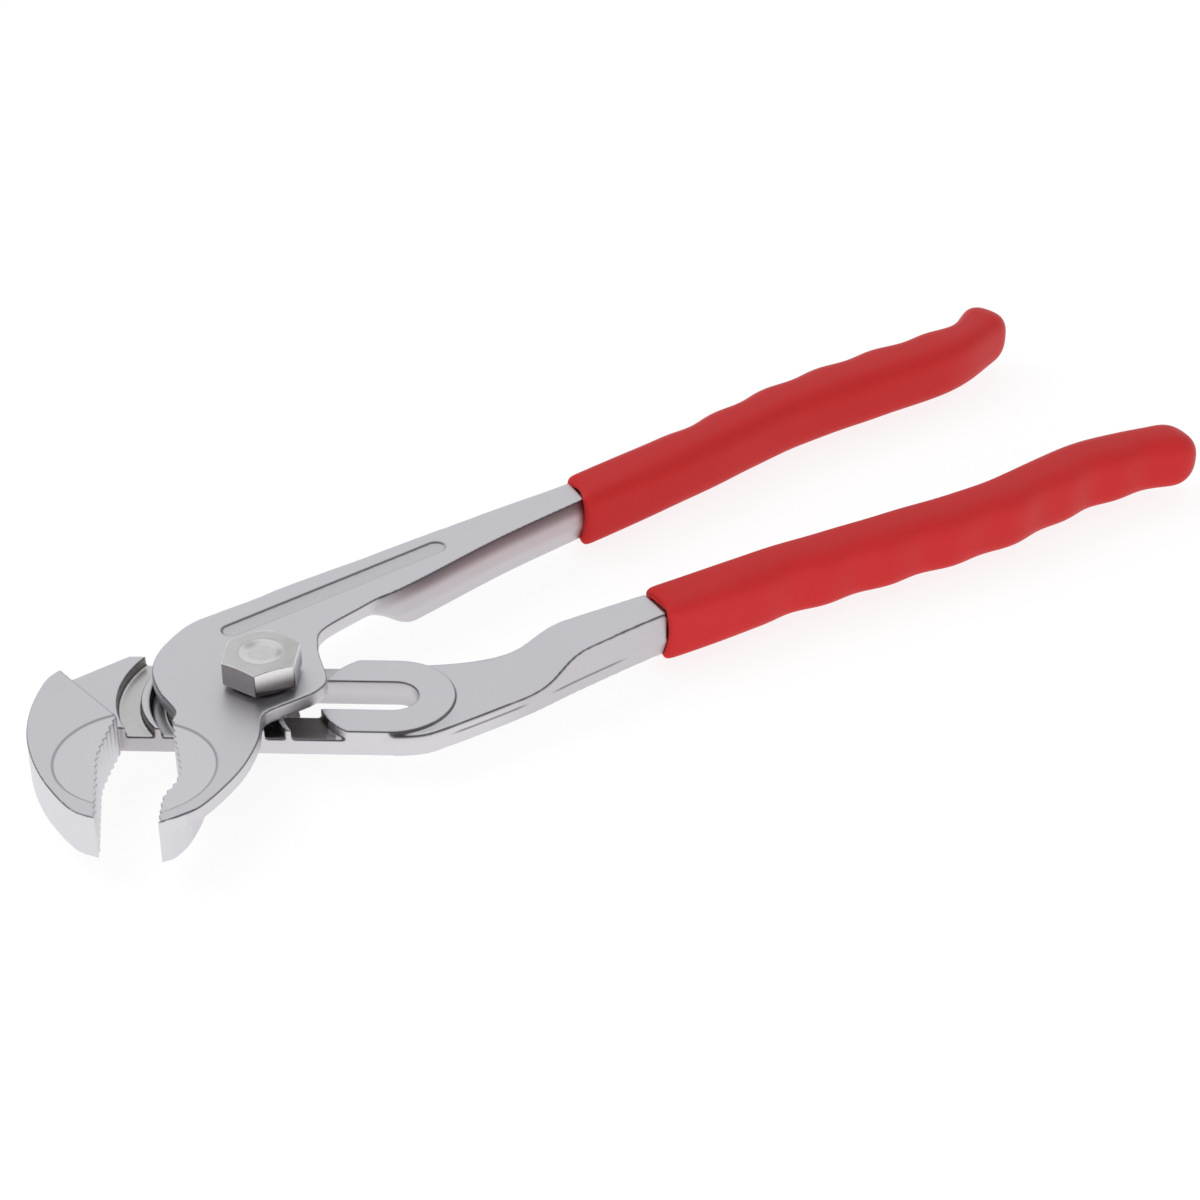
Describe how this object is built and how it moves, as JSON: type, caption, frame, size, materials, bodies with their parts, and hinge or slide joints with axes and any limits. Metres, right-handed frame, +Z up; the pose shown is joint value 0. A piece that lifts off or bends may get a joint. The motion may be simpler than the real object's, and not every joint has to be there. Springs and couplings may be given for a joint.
{
  "type": "groove-joint water pump pliers",
  "caption": "Forged water pump pliers with a slotted tongue-and-groove pivot, curved toothed jaws, hex bolt and soft wavy sleeves on both handles.",
  "frame": {"origin": "centre of the pivot bolt's flat end, the lowest face", "axes": "+X along the handles away from the jaws, +Y towards the front lever's handle, +Z up along the pivot axis out of the bolt's head"},
  "size_m": [0.3233, 0.0906, 0.0246],
  "materials": {
    "lever_chrome": "satin chrome plate over forged steel",
    "bolt_steel": "plated steel, bright on the head's top",
    "grip_red": "satin dipped soft plastic"
  },
  "bodies": {
    "rear_half": {"rear_lever": "lever_chrome", "rear_grip": "grip_red"},
    "pivot": {"pivot_bolt": "bolt_steel", "slot_washer": "bolt_steel", "lock_nut": "bolt_steel"},
    "front_half": {"front_lever": "lever_chrome", "front_grip": "grip_red"}
  },
  "joints": [
    {"name": "pivot_slide", "type": "slide", "parent": "rear_half", "child": "pivot", "axis": [0.809, -0.5878, 0], "range_m": [-0.006, 0.03]},
    {"name": "lever_hinge", "type": "hinge", "parent": "pivot", "child": "front_half", "pos_m": [0, 0, 0], "axis": [0, 0, 1], "range_deg": [-7, 70]}
  ]
}
